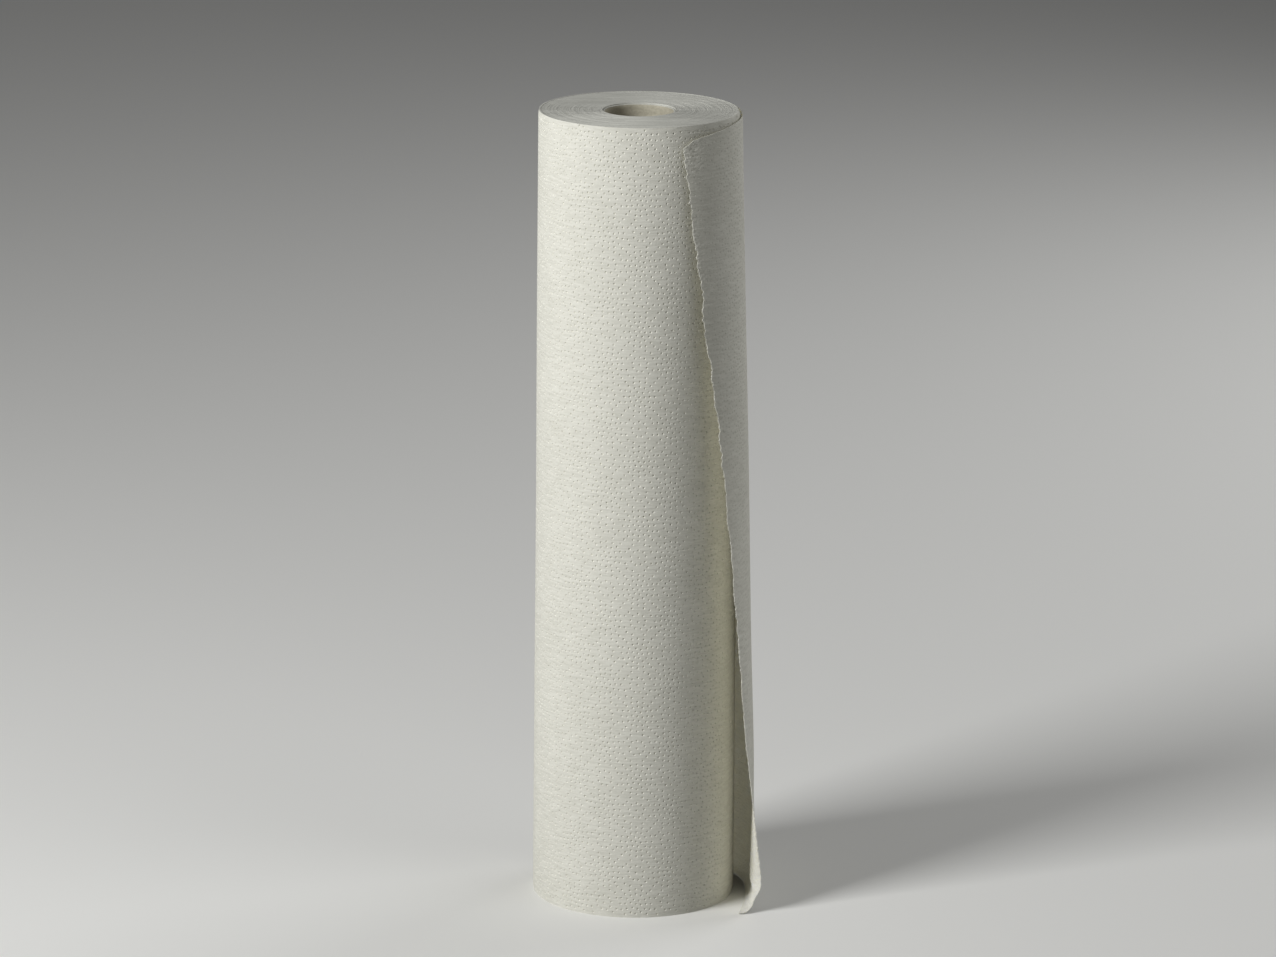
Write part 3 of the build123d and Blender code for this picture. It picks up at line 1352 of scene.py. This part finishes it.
@dataclass
class FibreGroup:
    """Paper fibre as a node group: clouds and specks in the colour, level crepe lines as painted shade in
    it, and a height.

    Its inputs are the two colours, the share of the lines and their scale. Its outputs are Color and
    Height. The noises are on object coordinates.
    """

    clouds: Noise = Noise(4.0, 0.6, (28.0, 28.0, 28.0))
    specks: Noise = Noise(2.0, 0.6, (700.0, 700.0, 900.0))
    streaks: Noise = Noise(2.0, 0.5)
    fuzz: Noise = Noise(3.0, 0.7, (900.0, 900.0, 1400.0))
    speck_share: float = 0.5
    fuzz_height: float = 0.25
    middle_range: tuple[float, float] = (0.34, 0.66)
    tree: bpy.types.NodeTree = field(init=False)
    given: bpy.types.Node = field(init=False)
    place: bpy.types.Node = field(init=False)

    def __post_init__(self) -> None:
        """Makes the empty group and its sockets."""
        self.tree = bpy.data.node_groups.new("paper_fibre", "ShaderNodeTree")
        sockets = (
            ("Light Color", "INPUT", "NodeSocketColor"),
            ("Shade Color", "INPUT", "NodeSocketColor"),
            ("Streaks", "INPUT", "NodeSocketFloat"),
            ("Streak Scale", "INPUT", "NodeSocketVector"),
            ("Color", "OUTPUT", "NodeSocketColor"),
            ("Height", "OUTPUT", "NodeSocketFloat"),
        )
        for name, way, kind in sockets:
            self.tree.interface.new_socket(name, in_out=way, socket_type=kind)
        self.given = self.tree.nodes.new("NodeGroupInput")
        self.place = self.tree.nodes.new("ShaderNodeTexCoord")

    def noise(self, noise: Noise) -> Socket:
        """A noise on object coordinates, stretched by its scale.

        Args:
            noise: The noise's values.

        Returns:
            Its value.
        """
        nodes, links = self.tree.nodes, self.tree.links
        mapping = nodes.new("ShaderNodeMapping")
        if noise.scale is None:
            links.new(self.given.outputs["Streak Scale"], mapping.inputs["Scale"])
        else:
            mapping.inputs["Scale"].default_value = noise.scale
        texture = nodes.new("ShaderNodeTexNoise")
        texture.inputs["Scale"].default_value = 1.0
        texture.inputs["Detail"].default_value = noise.detail
        texture.inputs["Roughness"].default_value = noise.roughness
        links.new(self.place.outputs["Object"], mapping.inputs["Vector"])
        links.new(mapping.outputs["Vector"], texture.inputs["Vector"])
        return texture.outputs["Fac"]

    def stretched(self, value: Socket) -> Socket:
        """A noise's middle range drawn out to the whole of 0 to 1.

        Args:
            value: The noise's value.

        Returns:
            The stretched value.
        """
        wide = self.tree.nodes.new("ShaderNodeMapRange")
        wide.inputs["From Min"].default_value = self.middle_range[0]
        wide.inputs["From Max"].default_value = self.middle_range[1]
        self.tree.links.new(value, wide.inputs["Value"])
        return wide.outputs["Result"]

    def blend(self, share: float | Socket, first: Socket, second: Socket) -> Socket:
        """The first value less a share of it, plus that share of the second.

        Args:
            share: From 0 for the first to 1 for the second.
            first: One value.
            second: The other.

        Returns:
            The blended value.
        """
        links = self.tree.links
        mixed = self.tree.nodes.new("ShaderNodeMix")
        if isinstance(share, float):
            mixed.inputs["Factor"].default_value = share
        else:
            links.new(share, mixed.inputs["Factor"])
        links.new(first, mixed.inputs["A"])
        links.new(second, mixed.inputs["B"])
        return mixed.outputs["Result"]

    def build(self) -> bpy.types.NodeTree:
        """Wires the group up.

        The height is the fuzz times its height, plus the lines times their share.

        Returns:
            The finished group.
        """
        nodes, links, given = self.tree.nodes, self.tree.links, self.given.outputs
        out = nodes.new("NodeGroupOutput")
        clouds, specks = self.noise(self.clouds), self.noise(self.specks)
        streaks, fuzz = self.noise(self.streaks), self.noise(self.fuzz)
        mottle = self.blend(self.speck_share, self.stretched(clouds), self.stretched(specks))
        # The clouds and specks are the paper's own mottle; the crepe lines in the colour are painted
        # shade of their ridges
        mottle_and_crepe_shade = self.blend(given["Streaks"], mottle, self.stretched(streaks))
        mix = nodes.new("ShaderNodeMix")
        mix.data_type = "RGBA"
        links.new(mottle_and_crepe_shade, mix.inputs["Factor"])
        links.new(given["Shade Color"], mix.inputs["A"])
        links.new(given["Light Color"], mix.inputs["B"])
        ridges = nodes.new("ShaderNodeMath")
        ridges.operation = "MULTIPLY"
        links.new(streaks, ridges.inputs[0])
        links.new(given["Streaks"], ridges.inputs[1])
        height = nodes.new("ShaderNodeMath")
        height.operation = "MULTIPLY_ADD"
        height.inputs[1].default_value = self.fuzz_height
        links.new(fuzz, height.inputs[0])
        links.new(ridges.outputs[0], height.inputs[2])
        links.new(mix.outputs["Result"], out.inputs["Color"])
        links.new(height.outputs[0], out.inputs["Height"])
        return self.tree


@dataclass(frozen=True)
class PaperFinish:
    """A matt fibrous finish. Bump is the fibres' height in metres, streaks the share of the level
    crepe lines, which darken the colour as painted shade of their ridges and also raise the height,
    and shine_through how much light goes through the paper.
    """

    name: str
    light: Colour
    shade: Colour
    roughness: float
    bump: float
    streaks: float
    streak_scale: Triple = (110.0, 110.0, 850.0)
    shine_through: float = 0.0
    shine_radius: Triple = (1.0, 0.95, 0.75)
    shine_scale: float = 0.003
    gloss: float = 0.2

    def material(self, fibre: bpy.types.NodeTree) -> bpy.types.Material:
        """The finish as a material.

        Args:
            fibre: The shared fibre group.

        Returns:
            The new material.
        """
        material, tree, shader = new_material(self.name)
        group = tree.nodes.new("ShaderNodeGroup")
        group.node_tree = fibre
        group.inputs["Light Color"].default_value = linear(*self.light)
        group.inputs["Shade Color"].default_value = linear(*self.shade)
        group.inputs["Streaks"].default_value = self.streaks
        group.inputs["Streak Scale"].default_value = self.streak_scale
        bump = tree.nodes.new("ShaderNodeBump")
        bump.inputs["Distance"].default_value = self.bump
        shader.inputs["Roughness"].default_value = self.roughness
        shader.inputs["Specular IOR Level"].default_value = self.gloss
        if self.shine_through > 0:
            shader.inputs["Subsurface Weight"].default_value = self.shine_through
            shader.inputs["Subsurface Radius"].default_value = self.shine_radius
            shader.inputs["Subsurface Scale"].default_value = self.shine_scale
        tree.links.new(group.outputs["Color"], shader.inputs["Base Color"])
        tree.links.new(group.outputs["Height"], bump.inputs["Height"])
        tree.links.new(bump.outputs["Normal"], shader.inputs["Normal"])
        return material


TISSUE = PaperFinish(
    name="tissue",
    light=(239, 238, 228),
    shade=(220, 219, 208),
    roughness=0.92,
    bump=0.00042,
    streaks=0.6,
)
TISSUE_INSIDE = PaperFinish(
    name="tissue_inside",
    light=(238, 235, 219),
    shade=(221, 218, 202),
    roughness=0.92,
    bump=0.0005,
    streaks=0.6,
    shine_through=0.8,
)
# Darker than the tissue: the paper edges' own tone, and painted shade of the gaps between the turns
TISSUE_EDGES = PaperFinish(
    name="tissue_edges",
    light=(214, 214, 206),
    shade=(184, 184, 176),
    roughness=0.95,
    bump=0.00028,
    streaks=0.5,
    streak_scale=(22.0, 240.0, 22.0),
)
CARD = PaperFinish(
    name="cardboard",
    light=(194, 189, 171),
    shade=(150, 145, 128),
    roughness=0.85,
    bump=0.0003,
    streaks=0.3,
    streak_scale=(40.0, 40.0, 300.0),
)


# The studio


@dataclass(frozen=True)
class Lamp:
    """A square lamp: its bearing in degrees from the front, to the right; its distance, height and
    size in metres; and its power in watts.
    """

    name: str
    bearing: float
    distance: float
    height: float
    size: float
    power: float


@dataclass
class Studio:
    """A plain pale floor, a broad soft lamp at the left and the photograph's viewpoint.

    Lengths are in metres and angles in degrees, apart from the camera's sensor, in millimetres.
    """

    eye: Triple = (0.0, -3.4344, 1.14807)
    pitch: float = 14.396
    roll: float = 0.444
    yaw: float = 0.0172
    focal_pixels: float = 5695.6
    frame_width: float = 1276.0
    sensor: float = 36.0
    nearest: float = 0.1
    farthest: float = 60.0
    lamps: tuple[Lamp, ...] = (
        Lamp("key", -54.0, 2.2, 1.45, 0.9, 51.0),
        Lamp("fill", 130.0, 2.4, 1.1, 1.4, 19.0),
        Lamp("top", 60.0, 1.6, 2.4, 1.2, 5.5),
    )
    lit_point: Triple = (0.0, 0.0, 0.25)
    sky: float = 0.09
    floor_radius: float = 12.0
    floor_sides: int = 64
    floor_roughness: float = 0.9
    floor_bounce_shade: Colour = (172, 172, 168)  # painted shade: the floor is darker in the light that it throws back at the roll
    floor_seen: Colour = (242, 242, 239)

    def camera(self) -> None:
        """The camera, turned down by its pitch and rolled about its own axis."""
        data = bpy.data.cameras.new("camera")
        data.sensor_width = self.sensor
        data.lens = self.focal_pixels / self.frame_width * self.sensor
        data.clip_start, data.clip_end = self.nearest, self.farthest
        camera = bpy.data.objects.new("camera", data)
        bpy.context.scene.collection.objects.link(camera)
        camera.location = self.eye
        aim = Euler((math.radians(90 - self.pitch), 0, 0)).to_matrix()
        lean = Euler((0, 0, math.radians(self.roll))).to_matrix()
        turn = Euler((0, 0, math.radians(-self.yaw))).to_matrix()
        camera.rotation_euler = (turn @ aim @ lean).to_euler()
        bpy.context.scene.camera = camera

    def lamp(self, lamp: Lamp) -> None:
        """A square area light that faces the roll's middle.

        Args:
            lamp: The lamp's values.
        """
        data = bpy.data.lights.new(lamp.name, "AREA")
        data.shape = "SQUARE"
        data.size = lamp.size
        data.energy = lamp.power
        light = bpy.data.objects.new(lamp.name, data)
        bpy.context.scene.collection.objects.link(light)
        angle = math.radians(lamp.bearing)
        light.location = (math.sin(angle) * lamp.distance, -math.cos(angle) * lamp.distance, lamp.height)
        aim = Vector(self.lit_point) - light.location
        light.rotation_euler = aim.to_track_quat("-Z", "Y").to_euler()

    def world(self) -> None:
        """A dim even sky."""
        world = bpy.data.worlds.new("sky")
        world.use_nodes = True
        sky = world.node_tree.nodes["Background"]
        sky.inputs["Color"].default_value = (1, 1, 1, 1)
        sky.inputs["Strength"].default_value = self.sky
        bpy.context.scene.world = world

    def floor(self) -> None:
        """A wide disc of matt floor. The camera sees it paler than the roll is lit by it: that darker
        light is painted shade.
        """
        angle = circle_of(self.floor_sides)
        x, y = self.floor_radius * np.cos(angle), self.floor_radius * np.sin(angle)
        points = np.stack([x, y, 0 * angle], axis=-1)
        mesh = bpy.data.meshes.new("floor")
        mesh.from_pydata(points.tolist(), [], [list(range(self.floor_sides))])
        material, tree, shader = new_material("floor_card")
        seen = tree.nodes.new("ShaderNodeLightPath")
        mix = tree.nodes.new("ShaderNodeMix")
        mix.data_type = "RGBA"
        mix.inputs["A"].default_value = linear(*self.floor_bounce_shade)
        mix.inputs["B"].default_value = linear(*self.floor_seen)
        tree.links.new(seen.outputs["Is Camera Ray"], mix.inputs["Factor"])
        tree.links.new(mix.outputs["Result"], shader.inputs["Base Color"])
        shader.inputs["Roughness"].default_value = self.floor_roughness
        mesh.materials.append(material)
        floor = bpy.data.objects.new("floor", mesh)
        bpy.context.scene.collection.objects.link(floor)

    def build(self) -> None:
        """Makes the camera, the lamps, the sky and the floor."""
        self.camera()
        for lamp in self.lamps:
            self.lamp(lamp)
        self.world()
        self.floor()
        bpy.context.scene.view_settings.view_transform = "Standard"


def main() -> None:
    """Builds the pieces in order around the frame."""
    logging.basicConfig(level=logging.INFO, format="%(name)s: %(message)s")
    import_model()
    Studio().build()
    fibre = FibreGroup().build()
    tissue, lit_through, edges, card = (
        finish.material(fibre) for finish in (TISSUE, TISSUE_INSIDE, TISSUE_EDGES, CARD)
    )
    embossing = Embossing()
    roll = WoundRoll(tissue, edges, embossing)
    wrap = roll.wrap()
    turns = roll.body()
    loose = LooseTurn(tissue, lit_through, embossing, roll)
    sheet = loose.sheet()
    fibres = loose.fibres()
    tube = CoreTube(card, edges).tube()
    for piece in (wrap, turns, sheet, fibres):
        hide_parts("paper_web")
    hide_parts("core_tube")
    loose.roll.web_width * MM
    log.info("boxes written")


if __name__ == "__main__":
    main()
